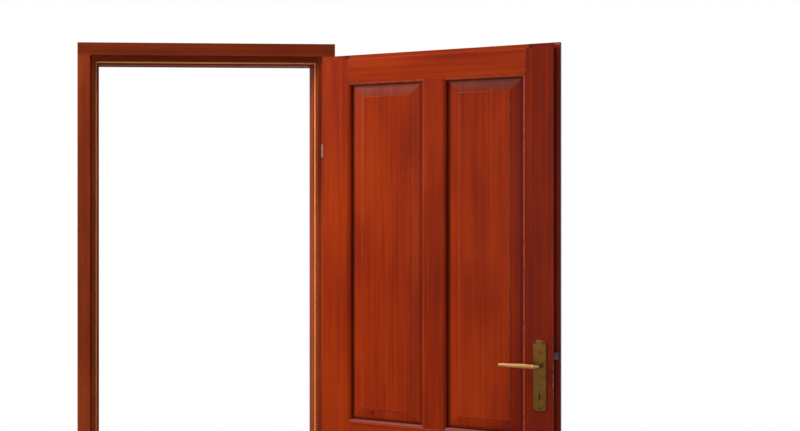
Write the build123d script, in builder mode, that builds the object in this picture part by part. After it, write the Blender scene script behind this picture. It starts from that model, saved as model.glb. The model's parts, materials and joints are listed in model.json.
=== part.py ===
"""Dutch stable door with its frame, in millimetres.

Seen from outside, X runs to the right, Y runs into the room and Z runs up.
The origin is the middle of the sill's underside. The hinges are on the right.
The upper leaf stands open and the lower leaf is shut.
"""
import os
from math import cos, radians, sin, sqrt

from build123d import *

# Frame: overall size, and the two stops that step in round the opening
frame_width = 850
frame_height = 2050
frame_depth = 120
face_width = 41
threshold_height = 16
stop_1_width = 14.5
stop_1_depth = 17.5
stop_2_width = 11.5
stop_2_depth = 43.5
stop_rounding = 4
weather_chamfer = 5

# Seal in a groove of the second stop
seal_width = 5
seal_sunk = 4
seal_proud = 3.2
seal_margin = 1.5
seal_play = 0.2
seal_chamfer = 1.2

# Frame fixings through each jamb
fixing_radius = 4
fixing_head_radius = 7.5
fixing_depth = 30
fixing_outer_spacing = 1550
fixing_inner_spacing = 550

# Leaves: thickness, lip that covers the frame's face joint, and gaps
leaf_thickness = 40
lip_thickness = 16
lip_width = 15
side_gap = 3
head_gap = 5
sill_gap = 4
split_gap = 4
split_height = 698
upper_opening = 148.5

# Framing of the leaves, as flat widths between the mouldings
stile_width = 82
muntin_width = 61
upper_top_rail_width = 75
upper_bottom_rail_width = 116
lower_top_rail_width = 88
lower_bottom_rail_width = 130

# Moulding and panels
quirk = 1.5
moulding_radius = 10
groove_width = 12
groove_depth = 14
panel_float = 3
panel_play = 0.3
panel_thickness = 24
field_inset = 48
field_step = 2
bevel_margin = 1

# Ledge along the top of the lower leaf
ledge_thickness = 22
ledge_overhang = 60
ledge_stop_clearance = 9
ledge_rounding = 5
ledge_corner = 8

# Hinges: two screw-in barrels a leaf, with the axis just in front of the frame
axis_offset = 2
axis_stand_off = 3
barrel_radius = 7.5
barrel_half = 21.5
barrel_rounding = 1.5
washer_thickness = 1
washer_inset = 0.5
washer_play = 0.1
pintle_radius = 4
pintle_length = 17
pintle_clearance = 0.08
hinge_pin_radius = 3
hinge_pin_fit = 0.1
hinge_pin_offset = 6
leaf_pin_length = 46
leaf_pin_slope = 30
frame_pin_length = 38
frame_pin_slope = 45
notch_clearance = 1
lift_room = 18
upper_hinge_below_top = 308.5
upper_hinge_above_foot = 25
lower_hinge_below_top = 106
lower_hinge_above_foot = 130

# Lock: lever and keyhole
lever_height = 1039.4
backset = 40.5
key_drop = 90
lock_centre = 31
case_thickness = 14
case_wall = 1.2
case_behind = 23.5
case_above_lever = 52
case_below_key = 28
mortise_play = 0.3
faceplate_width = 22
faceplate_thickness = 3
faceplate_length = 236
keyhole_radius = 3.5
keyhole_slot_width = 4
keyhole_slot_drop = 14
keyhole_wood_play = 1

# Latch and dead bolt
latch_above_lever = 28.6
latch_height = 22
latch_thickness = 10.6
latch_throw = 12
latch_body = 16
latch_nose = 2
tail_height = 8
tail_thickness = 5
hook_width = 6
hook_drop = 10
hook_play = 1
dead_bolt_above_key = 16
dead_bolt_height = 22
dead_bolt_thickness = 9
dead_bolt_body = 36
dead_bolt_tail = 16
dead_bolt_tail_thickness = 3
bolt_play = 0.4

# Follower, which the lever turns to draw the latch
follower_radius = 12
follower_thickness = 9
follower_boss_radius = 8.5
arm_reach = 20
arm_width = 5
spindle_side = 8
spindle_play = 0.1
spindle_hole_radius = 9.5

# Backplates and levers
plate_width = 40
plate_length = 213
plate_below_key = 48.8
plate_thickness = 4
plate_rise = 4
plate_corner = 3
plate_bevel = 1.6
collar_radius = 11.5
collar_height = 3
neck_radius = 7.5
neck_play = 0.3
lever_stand_off = 50
elbow_radius = 11
lever_length = 112
grip_radius = 7
tip_radius = 5.2
grip_flatness = 0.72
grip_start = 36
tip_rounding = 2
spindle_grip = 22
plate_screw_inset = 9
plate_top_screw_inset = 7
plate_top_screw_spread = 26

# Strike plate and the pockets behind it
strike_thickness = 2
strike_width = 18
strike_length = 236
strike_corner = 4
strike_window_play = 1.5
pocket_depth = 25

# Round sliding bolts on plates
bolt_radius = 4.5
bolt_axis_height = 14
bolt_plate_thickness = 2
bolt_plate_width = 34
bolt_guide_width = 12
bolt_guide_wall = 2.5
bolt_guide_inset = 4
bolt_running_clearance = 0.3
knob_radius = 4
knob_height = 12
knob_play = 1
joining_bolt_from_stile = 50
joining_bolt_travel = 18
joining_bolt_lift = 6
joining_bolt_reach = 5
side_bolt_below_top = 67
side_bolt_travel = 22
side_bolt_inset = 20
side_bolt_reach = 6
bolt_screw_inset = 6
bolt_chamfer = 1
ferrule_wall = 1.5
keeper_length = 50
keeper_width = 12
keeper_screw_inset = 7

# Countersunk wood screws
screw_head_radius = 3.6
screw_radius = 1.9
screw_drop = 2
screw_length = 16
screw_fit = 0.1

# How far a cut runs past the face that it opens
overcut = 1

# Places that follow from the driving dimensions
opening_half = frame_width / 2 - face_width
head_face = frame_height - face_width
outer_y = -frame_depth / 2
inner_y = frame_depth / 2
stop_1_y = outer_y + stop_1_depth
stop_2_y = outer_y + stop_2_depth
stop_half = opening_half - stop_1_width
clear_half = stop_half - stop_2_width

hinge_x = opening_half + axis_offset
hinge_y = outer_y - axis_stand_off

outer_face = axis_stand_off
room_face = outer_face + leaf_thickness
lip_face = outer_face + lip_thickness
leaf_middle = outer_face + leaf_thickness / 2
lip_start = axis_offset + side_gap
lip_end = hinge_x + opening_half - side_gap
layer_start = lip_start + lip_width
layer_end = lip_end - lip_width

upper_top = head_face - head_gap
upper_foot = split_height + split_gap / 2
lower_top = split_height - split_gap / 2
lower_foot = threshold_height + sill_gap
lower_body_top = lower_top - ledge_thickness
side_bolt_height = lower_top - side_bolt_below_top
upper_top_flat = upper_top - lip_width - upper_top_rail_width
upper_bottom_flat = upper_foot + upper_bottom_rail_width
lower_top_flat = lower_body_top - lower_top_rail_width
lower_bottom_flat = lower_foot + lip_width + lower_bottom_rail_width

flat_start = layer_start + stile_width
flat_end = layer_end - stile_width
joining_bolt_along = flat_end - joining_bolt_from_stile
panel_span = (flat_end - flat_start - muntin_width) / 2
muntin_start = flat_start + panel_span
muntin_end = muntin_start + muntin_width

lever_u = layer_end - backset
key_height = lever_height - key_drop
plate_foot = key_height - plate_below_key
latch_z = lever_height + latch_above_lever
dead_bolt_z = key_height + dead_bolt_above_key
case_top = lever_height + case_above_lever
case_foot = key_height - case_below_key
case_back = lever_u - case_behind
faceplate_start = layer_end - faceplate_thickness
lock_middle_z = (case_top + case_foot) / 2

hook_start = lever_u - arm_width / 2 - hook_play - hook_width

bolt_v = room_face + bolt_axis_height
strike_y = hinge_y + lock_centre
keeper_y = hinge_y + bolt_v
ferrule_radius = bolt_radius + bolt_play + ferrule_wall
ledge_start = hinge_x - clear_half + ledge_stop_clearance
ledge_end = hinge_x + clear_half - ledge_stop_clearance
groove_reach = groove_depth - moulding_radius
barrel_height = 2 * barrel_half + washer_thickness
half_middle = (barrel_half + washer_thickness) / 2
upper_hinges = {
    "upper_top": upper_top - upper_hinge_below_top,
    "upper_bottom": upper_foot + upper_hinge_above_foot,
}
lower_hinges = {
    "lower_top": lower_top - lower_hinge_below_top,
    "lower_bottom": lower_foot + lower_hinge_above_foot,
}
hinge_heights = [*upper_hinges.values(), *lower_hinges.values()]


class LeafPlanes:
    """Planes of one leaf, turned open about its hinge axis.

    Along the leaf from the axis is u, up it is z, and through it towards the room is v.
    """

    def __init__(self, opening):
        self.axis = Vector(hinge_x, hinge_y, 0)
        self.along = Vector(-1, 0, 0).rotate(Axis.Z, opening)
        self.inward = Vector(0, 1, 0).rotate(Axis.Z, opening)
        self.up = Vector(0, 0, 1)

    def point(self, u, z, v):
        """The place of one point of the leaf."""
        return self.axis + self.along * u + self.up * z + self.inward * v

    def face(self, v):
        """Sketch x is u, sketch y is z, and the normal points into the room."""
        return Plane(self.point(0, 0, v), x_dir=self.along, z_dir=self.inward)

    def plan(self, z):
        """Sketch x is u, sketch y is v, and the normal points down."""
        return Plane(self.point(0, z, 0), x_dir=self.along, z_dir=-self.up)

    def end(self, u):
        """Sketch x is z, sketch y is v, and the normal points away from the hinge."""
        return Plane(self.point(u, 0, 0), x_dir=self.up, z_dir=self.along)

    def side(self, u, z, v, room):
        """Sketch y is up, and the normal points off one face of the leaf, into the room or out."""
        normal = self.inward if room else -self.inward
        return Plane(self.point(u, z, v), x_dir=self.up.cross(normal), z_dir=normal)


upper = LeafPlanes(upper_opening)
lower = LeafPlanes(0)


# Shapes that several pieces share
def slab(plane, low_x, high_x, low_y, high_y, depth, mode=Mode.ADD):
    """A rectangular board on a plane, between limits of the sketch."""
    with BuildSketch(plane) as section:
        with Locations(((low_x + high_x) / 2, (low_y + high_y) / 2)):
            Rectangle(high_x - low_x, high_y - low_y)
    extrude(section.sketch, amount=depth, mode=mode)


def rod(plane, radius, length, mode=Mode.ADD):
    """A round bar that stands on a plane's origin."""
    with BuildSketch(plane) as section:
        Circle(radius)
    extrude(section.sketch, amount=length, mode=mode)


def countersunk(place, head, shank, drop, length, mode):
    """A countersunk round form below a plane's origin, such as a screw or its hole."""
    with BuildSketch(Plane(place.origin, x_dir=place.x_dir, z_dir=-place.y_dir)) as section:
        with BuildLine():
            Polyline(
                (0, 0),
                (head, 0),
                (shank, -drop),
                (shank, -length),
                (0, -length),
                close=True,
            )
        make_face()
    revolve(section.sketch, axis=Axis(place.origin, place.z_dir), mode=mode)


def screws(places):
    """Countersunk screws with their heads flush at these planes."""
    for place in places:
        countersunk(place, screw_head_radius, screw_radius, screw_drop, screw_length, Mode.ADD)


def screw_holes(places):
    """Holes that take those screws with a small fit."""
    for place in places:
        countersunk(
            place,
            screw_head_radius + screw_fit,
            screw_radius + screw_fit,
            screw_drop,
            screw_length + screw_fit,
            Mode.SUBTRACT,
        )


# Frame
def frame_section(plane, face_at, outer_at):
    """Section of a frame member: flat face, two stops and a rounded inner arris.

    Sketch x crosses the member and sketch y is the depth. The stops step in to the opening.
    """
    side = 1 if outer_at > face_at else -1
    stop_at = face_at - side * stop_1_width
    clear_at = stop_at - side * stop_2_width
    round_start = (clear_at + side * stop_rounding, stop_2_y)
    round_end = (clear_at, stop_2_y + stop_rounding)
    shortening = stop_rounding * (1 - sqrt(0.5))
    with BuildSketch(plane) as section:
        with BuildLine():
            Polyline(
                round_end,
                (clear_at, inner_y),
                (outer_at, inner_y),
                (outer_at, outer_y),
                (face_at, outer_y),
                (face_at, stop_1_y),
                (stop_at, stop_1_y),
                (stop_at, stop_2_y),
                round_start,
            )
            ThreePointArc(
                round_start,
                (clear_at + side * shortening, stop_2_y + shortening),
                round_end,
            )
        make_face()
    return section.sketch


def seal_ring(back_y, depth, play=0, mode=Mode.ADD):
    """A rectangular ring in the second stop, all round the opening."""
    half = stop_half - seal_margin + play
    top = head_face - stop_1_width - seal_margin + play
    foot = threshold_height + stop_1_width + seal_margin - play
    band = 2 * (seal_width + 2 * play)
    with BuildSketch(Plane((0, back_y, 0), x_dir=(1, 0, 0), z_dir=(0, -1, 0))) as section:
        with Locations((0, (foot + top) / 2)):
            Rectangle(2 * half, top - foot)
            Rectangle(2 * half - band, top - foot - band, mode=Mode.SUBTRACT)
    extrude(section.sketch, amount=depth, mode=mode)


def cut_seal_groove():
    """The seal's groove, in a frame member."""
    depth = seal_sunk + seal_play
    seal_ring(stop_2_y + depth, depth, seal_play, Mode.SUBTRACT)


def cut_barrel_notches(heights):
    """Room for the hinge barrels, with space above each to lift the leaf off."""
    for z in heights:
        foot = z - barrel_height / 2 - notch_clearance
        radius = barrel_radius + notch_clearance
        height = barrel_height + notch_clearance + lift_room
        rod(Plane((hinge_x, hinge_y, foot)), radius, height, Mode.SUBTRACT)


def cut_fixings(side):
    """Countersunk fixing holes through a jamb, in two pairs about its middle."""
    for spacing in (fixing_outer_spacing, fixing_inner_spacing):
        for z in ((frame_height - spacing) / 2, (frame_height + spacing) / 2):
            mouth = (side * stop_half, outer_y + fixing_depth, z)
            countersunk(
                Plane(mouth, x_dir=(0, 0, 1), z_dir=(-side, 0, 0)),
                fixing_head_radius,
                fixing_radius,
                fixing_head_radius - fixing_radius,
                frame_width / 2 - stop_half + overcut,
                Mode.SUBTRACT,
            )


def frame_pins(z, fit=0, mode=Mode.ADD):
    """Both screw pins of a hinge's frame half, or their holes in the jamb."""
    slope = radians(frame_pin_slope)
    for offset in (-hinge_pin_offset, hinge_pin_offset):
        start = (hinge_x, hinge_y, z - half_middle + offset)
        way = Plane(start, x_dir=(0, 0, 1), z_dir=(cos(slope), sin(slope), 0))
        rod(way, hinge_pin_radius + fit, frame_pin_length + fit, mode)


def leaf_pins(leaf, z, fit=0, mode=Mode.ADD):
    """Both screw pins of a hinge's leaf half, or their holes in the stile."""
    slope = radians(leaf_pin_slope)
    direction = leaf.along * cos(slope) + leaf.inward * sin(slope)
    for offset in (-hinge_pin_offset, hinge_pin_offset):
        way = Plane(leaf.point(0, z + half_middle + offset, 0), x_dir=leaf.up, z_dir=direction)
        rod(way, hinge_pin_radius + fit, leaf_pin_length + fit, mode)


def lock_jamb_face(x, z, y):
    """A place on the lock jamb: sketch x runs down, sketch y into the room, the normal at the leaf."""
    return Plane((x, y, z), x_dir=(0, 0, -1), z_dir=(1, 0, 0))


def strike_windows(grow):
    """Openings for the latch and the dead bolt, in a sketch at the strike plate's middle."""
    for z, height, thickness in (
        (latch_z, latch_height, latch_thickness),
        (dead_bolt_z, dead_bolt_height, dead_bolt_thickness),
    ):
        with Locations((lock_middle_z - z, 0)):
            Rectangle(height + 2 * grow, thickness + 2 * grow)


strike_face = lock_jamb_face(-stop_half, lock_middle_z, strike_y)
keeper_face = lock_jamb_face(-clear_half, side_bolt_height, keeper_y)
strike_screw_at = strike_length / 2 - plate_screw_inset
keeper_screw_at = keeper_length / 2 - keeper_screw_inset
strike_screw_places = [
    lock_jamb_face(-stop_half, lock_middle_z + side * strike_screw_at, strike_y) for side in (-1, 1)
]
keeper_screw_places = [
    lock_jamb_face(-clear_half, side_bolt_height + side * keeper_screw_at, keeper_y) for side in (-1, 1)
]

with BuildPart() as jamb_hinge_side:
    extrude(
        frame_section(Plane.XY.offset(threshold_height), opening_half, frame_width / 2),
        amount=head_face - threshold_height,
    )
    cut_seal_groove()
    cut_fixings(1)
    cut_barrel_notches(hinge_heights)
    for height in hinge_heights:
        frame_pins(height, hinge_pin_fit, Mode.SUBTRACT)

with BuildPart() as jamb_lock_side:
    extrude(
        frame_section(Plane.XY.offset(threshold_height), -opening_half, -frame_width / 2),
        amount=head_face - threshold_height,
    )
    cut_seal_groove()
    cut_fixings(-1)
    with BuildSketch(strike_face):
        RectangleRounded(strike_length, strike_width, strike_corner)
    extrude(amount=-strike_thickness, mode=Mode.SUBTRACT)
    with BuildSketch(strike_face):
        strike_windows(2 * strike_window_play)
    extrude(amount=-pocket_depth, mode=Mode.SUBTRACT)
    with BuildSketch(keeper_face):
        RectangleRounded(keeper_length, keeper_width, strike_corner)
    extrude(amount=-strike_thickness, mode=Mode.SUBTRACT)
    with BuildSketch(keeper_face):
        Circle(bolt_radius + bolt_play)
    extrude(amount=-pocket_depth, mode=Mode.SUBTRACT)
    screw_holes(strike_screw_places + keeper_screw_places)

across_frame = Plane((frame_width / 2, 0, 0), x_dir=(0, 0, 1), z_dir=(-1, 0, 0))

with BuildPart() as head:
    extrude(frame_section(across_frame, head_face, frame_height), amount=frame_width)
    cut_seal_groove()
    add(jamb_hinge_side.part, mode=Mode.SUBTRACT)
    add(jamb_lock_side.part, mode=Mode.SUBTRACT)

with BuildPart() as threshold:
    extrude(frame_section(across_frame, threshold_height, 0), amount=frame_width)
    weather_edge = threshold.edges().filter_by(Axis.X).group_by(Axis.Y)[0].sort_by(Axis.Z)[-1]
    chamfer(weather_edge, weather_chamfer)
    cut_seal_groove()
    add(jamb_hinge_side.part, mode=Mode.SUBTRACT)
    add(jamb_lock_side.part, mode=Mode.SUBTRACT)

with BuildPart() as frame_seal:
    seal_ring(stop_2_y + seal_sunk, seal_sunk + seal_proud)
    chamfer(frame_seal.faces().sort_by(Axis.Y)[0].edges(), seal_chamfer)

with BuildPart() as strike_plate:
    with BuildSketch(strike_face):
        RectangleRounded(strike_length, strike_width, strike_corner)
    extrude(amount=-strike_thickness)
    with BuildSketch(strike_face):
        strike_windows(strike_window_play)
    extrude(amount=-strike_thickness, mode=Mode.SUBTRACT)
    screw_holes(strike_screw_places)

with BuildPart() as strike_screws:
    screws(strike_screw_places)

with BuildPart() as side_bolt_keeper:
    with BuildSketch(keeper_face):
        RectangleRounded(keeper_length, keeper_width, strike_corner)
        Circle(bolt_radius + bolt_play, mode=Mode.SUBTRACT)
    extrude(amount=-strike_thickness)
    screw_holes(keeper_screw_places)

with BuildPart() as keeper_screws:
    screws(keeper_screw_places)


# Joinery of the leaves
def moulded_edge(flat, side):
    """Edge towards a panel: quirk and ovolo on both faces, and the panel groove between them."""
    nose = flat + side * moulding_radius
    floor = nose - side * groove_depth
    shortening = moulding_radius * (1 - sqrt(0.5))
    for face, way in ((room_face, 1), (outer_face, -1)):
        foot = face - way * quirk
        curve_end = (nose, foot - way * moulding_radius)
        wall = leaf_middle + way * groove_width / 2
        Line((flat, face), (flat, foot))
        ThreePointArc((flat, foot), (nose - side * shortening, foot - way * shortening), curve_end)
        Polyline(curve_end, (nose, wall), (floor, wall), (floor, leaf_middle))
    return flat, flat


def lipped_edge(lip, side):
    """Edge with the lip that laps over the frame's first stop."""
    body = lip - side * lip_width
    Polyline((body, room_face), (body, lip_face), (lip, lip_face), (lip, outer_face))
    return body, lip


def plain_edge(at, side):
    """Square edge."""
    Line((at, room_face), (at, outer_face))
    return at, at


def member(plane, low, high, length):
    """A stile, rail or muntin: its section between two edges, each a kind and a place."""
    with BuildSketch(plane) as section:
        with BuildLine():
            low_room, low_outer = low[0](low[1], -1)
            high_room, high_outer = high[0](high[1], 1)
            Line((low_room, room_face), (high_room, room_face))
            Line((low_outer, outer_face), (high_outer, outer_face))
        make_face()
    extrude(section.sketch, amount=length)


def rail(leaf, low, high, stiles):
    """A rail with its ends scribed over the stiles' mouldings and tenoned in their grooves."""
    start = flat_start - groove_reach
    member(leaf.end(start), low, high, flat_end + groove_reach - start)
    for stile in stiles:
        add(stile.part, mode=Mode.SUBTRACT)


def muntin(leaf, low_flat, high_flat, rails):
    """The middle upright between two rails, scribed over their mouldings."""
    top = high_flat + groove_reach
    length = top - low_flat + groove_reach
    low = (moulded_edge, muntin_start)
    member(leaf.plan(top), low, (moulded_edge, muntin_end), length)
    for crossing in rails:
        add(crossing.part, mode=Mode.SUBTRACT)


def panel(leaf, low_u, high_u, low_z, high_z):
    """A raised and fielded panel for one gap between flats, alike on both faces."""
    middle = ((low_u + high_u) / 2, (low_z + high_z) / 2)
    width = high_u - low_u
    height = high_z - low_z
    tongue = groove_width - 2 * panel_play
    reach = 2 * (groove_reach - panel_float)
    sight = 2 * (moulding_radius + bevel_margin)
    step_foot = panel_thickness / 2 - field_step
    with BuildSketch(leaf.face(leaf_middle)) as tongue_outline:
        with Locations(middle):
            Rectangle(width + reach, height + reach)
    extrude(tongue_outline.sketch, amount=tongue / 2, both=True)
    for way in (-1, 1):
        with BuildSketch(leaf.face(leaf_middle + way * tongue / 2)) as bevel_foot:
            with Locations(middle):
                Rectangle(width - sight, height - sight)
        with BuildSketch(leaf.face(leaf_middle + way * step_foot)) as field:
            with Locations(middle):
                Rectangle(width - 2 * field_inset, height - 2 * field_inset)
        loft([bevel_foot.sketch, field.sketch])
        extrude(field.sketch, amount=way * field_step)


def cut_room_side(leaf, low_z, high_z):
    """Cut a stile back to its lip between two heights."""
    slab(
        leaf.face(lip_face),
        lip_start - overcut,
        lip_end + overcut,
        low_z,
        high_z,
        leaf_thickness,
        Mode.SUBTRACT,
    )


def keyhole(plane, grow, depth):
    """A keyhole from a plane through its origin, with its slot hanging down."""
    slot = keyhole_slot_drop + grow
    with BuildSketch(plane) as section:
        Circle(keyhole_radius + grow)
        with Locations((0, -slot / 2)):
            Rectangle(keyhole_slot_width + 2 * grow, slot)
    extrude(section.sketch, amount=depth, both=True, mode=Mode.SUBTRACT)


def plate_screw_places(room):
    """Screws of a backplate: two near the top corners and one at the foot."""
    surface = room_face + plate_thickness if room else outer_face - plate_thickness
    top = plate_foot + plate_length - plate_top_screw_inset
    spots = [
        (lever_u - plate_top_screw_spread / 2, top),
        (lever_u + plate_top_screw_spread / 2, top),
        (lever_u, plate_foot + plate_screw_inset),
    ]
    return [upper.side(u, z, surface, room) for u, z in spots]


faceplate_screw_places = [
    Plane(
        upper.point(
            layer_end, lock_middle_z + side * (faceplate_length / 2 - plate_screw_inset), lock_centre
        ),
        x_dir=upper.up,
        z_dir=upper.along,
    )
    for side in (-1, 1)
]


def bolt_place(leaf, u, z, shoot):
    """Front end of a bolt's plate: sketch x is the way it shoots, the normal is off the leaf."""
    return Plane(leaf.point(u, z, room_face), x_dir=shoot, z_dir=leaf.inward)


def bolt_plate_length(travel):
    """Length of a plate whose two guides leave just the knob's travel between them."""
    return 2 * (bolt_guide_inset + bolt_guide_width + knob_radius + knob_play) + travel


def bolt_screw_places(place, travel):
    """The four corner screws of a bolt's plate."""
    length = bolt_plate_length(travel)
    side = bolt_plate_width / 2 - bolt_screw_inset
    return [
        Plane(
            place.origin + place.x_dir * x + place.y_dir * y + place.z_dir * bolt_plate_thickness,
            x_dir=place.x_dir,
            z_dir=place.z_dir,
        )
        for x in (-bolt_screw_inset, bolt_screw_inset - length)
        for y in (-side, side)
    ]


joining_place = bolt_place(upper, joining_bolt_along, upper_foot + joining_bolt_lift, -upper.up)
joining_screw_places = bolt_screw_places(joining_place, joining_bolt_travel)
side_place = bolt_place(lower, layer_end - side_bolt_inset, side_bolt_height, lower.along)
side_screw_places = bolt_screw_places(side_place, side_bolt_travel)

# Upper leaf
with BuildPart() as upper_hinge_stile:
    member(
        upper.plan(upper_top),
        (lipped_edge, lip_start),
        (moulded_edge, flat_start),
        upper_top - upper_foot,
    )
    cut_room_side(upper, upper_top - lip_width, upper_top + overcut)
    cut_barrel_notches(upper_hinges.values())
    for height in upper_hinges.values():
        leaf_pins(upper, height, hinge_pin_fit, Mode.SUBTRACT)

with BuildPart() as upper_lock_stile:
    member(
        upper.plan(upper_top),
        (moulded_edge, flat_end),
        (lipped_edge, lip_end),
        upper_top - upper_foot,
    )
    cut_room_side(upper, upper_top - lip_width, upper_top + overcut)
    slab(
        upper.end(case_back - mortise_play),
        case_foot - mortise_play,
        case_top + mortise_play,
        lock_centre - case_thickness / 2 - mortise_play,
        lock_centre + case_thickness / 2 + mortise_play,
        layer_end - case_back + mortise_play,
        Mode.SUBTRACT,
    )
    with BuildSketch(upper.end(faceplate_start)):
        with Locations((lock_middle_z, lock_centre)):
            SlotOverall(faceplate_length, faceplate_width)
    extrude(amount=faceplate_thickness, mode=Mode.SUBTRACT)
    rod(
        upper.side(lever_u, lever_height, outer_face, True),
        spindle_hole_radius,
        leaf_thickness,
        Mode.SUBTRACT,
    )
    keyhole(upper.side(lever_u, key_height, leaf_middle, True), keyhole_wood_play, leaf_thickness)
    screw_holes(plate_screw_places(True) + plate_screw_places(False) + faceplate_screw_places)

with BuildPart() as upper_top_rail:
    rail(
        upper,
        (moulded_edge, upper_top_flat),
        (lipped_edge, upper_top),
        (upper_hinge_stile, upper_lock_stile),
    )

with BuildPart() as upper_bottom_rail:
    rail(
        upper,
        (plain_edge, upper_foot),
        (moulded_edge, upper_bottom_flat),
        (upper_hinge_stile, upper_lock_stile),
    )
    screw_holes(joining_screw_places)

with BuildPart() as upper_muntin:
    muntin(upper, upper_bottom_flat, upper_top_flat, (upper_top_rail, upper_bottom_rail))

with BuildPart() as upper_panel_hinge_side:
    panel(upper, flat_start, muntin_start, upper_bottom_flat, upper_top_flat)

with BuildPart() as upper_panel_lock_side:
    panel(upper, muntin_end, flat_end, upper_bottom_flat, upper_top_flat)

# Lower leaf
with BuildPart() as lower_hinge_stile:
    member(
        lower.plan(lower_body_top),
        (lipped_edge, lip_start),
        (moulded_edge, flat_start),
        lower_body_top - lower_foot,
    )
    cut_room_side(lower, lower_foot - overcut, lower_foot + lip_width)
    cut_barrel_notches(lower_hinges.values())
    for height in lower_hinges.values():
        leaf_pins(lower, height, hinge_pin_fit, Mode.SUBTRACT)

with BuildPart() as lower_lock_stile:
    member(
        lower.plan(lower_body_top),
        (moulded_edge, flat_end),
        (lipped_edge, lip_end),
        lower_body_top - lower_foot,
    )
    cut_room_side(lower, lower_foot - overcut, lower_foot + lip_width)
    screw_holes(side_screw_places)

with BuildPart() as lower_top_rail:
    rail(
        lower,
        (moulded_edge, lower_top_flat),
        (plain_edge, lower_body_top),
        (lower_hinge_stile, lower_lock_stile),
    )
    screw_holes(side_screw_places)

with BuildPart() as lower_bottom_rail:
    rail(
        lower,
        (lipped_edge, lower_foot),
        (moulded_edge, lower_bottom_flat),
        (lower_hinge_stile, lower_lock_stile),
    )

with BuildPart() as lower_muntin:
    muntin(lower, lower_bottom_flat, lower_top_flat, (lower_top_rail, lower_bottom_rail))

with BuildPart() as lower_panel_hinge_side:
    panel(lower, flat_start, muntin_start, lower_bottom_flat, lower_top_flat)

with BuildPart() as lower_panel_lock_side:
    panel(lower, muntin_end, flat_end, lower_bottom_flat, lower_top_flat)

with BuildPart() as lower_ledge:
    room_edge = room_face + ledge_overhang
    with BuildSketch(lower.plan(lower_top)):
        with BuildLine():
            Polyline(
                (lip_start, outer_face),
                (lip_end, outer_face),
                (lip_end, lip_face),
                (layer_end, lip_face),
                (layer_end, room_face),
                (ledge_end, room_face),
                (ledge_end, room_edge),
                (ledge_start, room_edge),
                (ledge_start, room_face),
                (layer_start, room_face),
                (layer_start, lip_face),
                (lip_start, lip_face),
                close=True,
            )
        make_face()
    extrude(amount=ledge_thickness)
    fillet(lower_ledge.edges().filter_by(Axis.Z).group_by(Axis.Y)[-1], ledge_corner)
    fillet(lower_ledge.faces().sort_by(Axis.Z)[-1].edges().group_by(Axis.Y)[-1], ledge_rounding)
    rod(
        lower.plan(lower_top).shift_origin(lower.point(joining_bolt_along, lower_top, bolt_v)),
        ferrule_radius + screw_fit,
        ledge_thickness,
        Mode.SUBTRACT,
    )

with BuildPart() as ledge_ferrule:
    with BuildSketch(lower.plan(lower_top)):
        with Locations((joining_bolt_along, bolt_v)):
            Circle(ferrule_radius)
            Circle(bolt_radius + bolt_play, mode=Mode.SUBTRACT)
    extrude(amount=ledge_thickness)


# Hinges
def hinge_frame_half(z):
    """Lower half of a barrel hinge, with the pintle and two screw pins for the jamb."""
    foot = z - barrel_height / 2
    with BuildPart() as half:
        rod(Plane((hinge_x, hinge_y, foot)), barrel_radius, barrel_half)
        fillet(half.edges().filter_by(GeomType.CIRCLE).sort_by(Axis.Z)[0], barrel_rounding)
        frame_pins(z)
        rod(
            Plane((hinge_x, hinge_y, foot + barrel_half)),
            pintle_radius,
            washer_thickness + pintle_length,
        )
    return half


def hinge_leaf_half(leaf, z):
    """Upper half of a barrel hinge, which turns on the pintle and screws into a stile."""
    foot = z + washer_thickness / 2
    with BuildPart() as half:
        rod(Plane((hinge_x, hinge_y, foot + washer_play)), barrel_radius, barrel_half - washer_play)
        fillet(half.edges().filter_by(GeomType.CIRCLE).sort_by(Axis.Z)[-1], barrel_rounding)
        leaf_pins(leaf, z)
        rod(
            Plane((hinge_x, hinge_y, foot)),
            pintle_radius + pintle_clearance,
            pintle_length + washer_thickness,
            Mode.SUBTRACT,
        )
    return half


def hinge_washer(z):
    """Bearing washer between the halves."""
    with BuildPart() as washer:
        with BuildSketch(Plane((hinge_x, hinge_y, z - washer_thickness / 2))):
            Circle(barrel_radius - washer_inset)
            Circle(pintle_radius + pintle_clearance, mode=Mode.SUBTRACT)
        extrude(amount=washer_thickness)
    return washer


# Lock in the upper leaf
with BuildPart() as lock_case:
    low_v = lock_centre - case_thickness / 2
    high_v = lock_centre + case_thickness / 2
    depth = faceplate_start - case_back
    slab(upper.end(case_back), case_foot, case_top, low_v, high_v, depth)
    slab(
        upper.end(case_back + case_wall),
        case_foot + case_wall,
        case_top - case_wall,
        low_v + case_wall,
        high_v - case_wall,
        depth,
        Mode.SUBTRACT,
    )
    rod(
        upper.side(lever_u, lever_height, low_v, True),
        follower_boss_radius + neck_play,
        case_thickness,
        Mode.SUBTRACT,
    )
    keyhole(upper.side(lever_u, key_height, lock_centre, True), 0, case_thickness)

with BuildPart() as lock_faceplate:
    with BuildSketch(upper.end(faceplate_start)):
        with Locations((lock_middle_z, lock_centre)):
            SlotOverall(faceplate_length, faceplate_width)
        with Locations((latch_z, lock_centre)):
            Rectangle(
                latch_height + 2 * bolt_play, latch_thickness + 2 * bolt_play, mode=Mode.SUBTRACT
            )
        with Locations((dead_bolt_z, lock_centre)):
            Rectangle(
                dead_bolt_height + 2 * bolt_play,
                dead_bolt_thickness + 2 * bolt_play,
                mode=Mode.SUBTRACT,
            )
    extrude(amount=faceplate_thickness)
    screw_holes(faceplate_screw_places)

with BuildPart() as faceplate_screws:
    screws(faceplate_screw_places)

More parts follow.
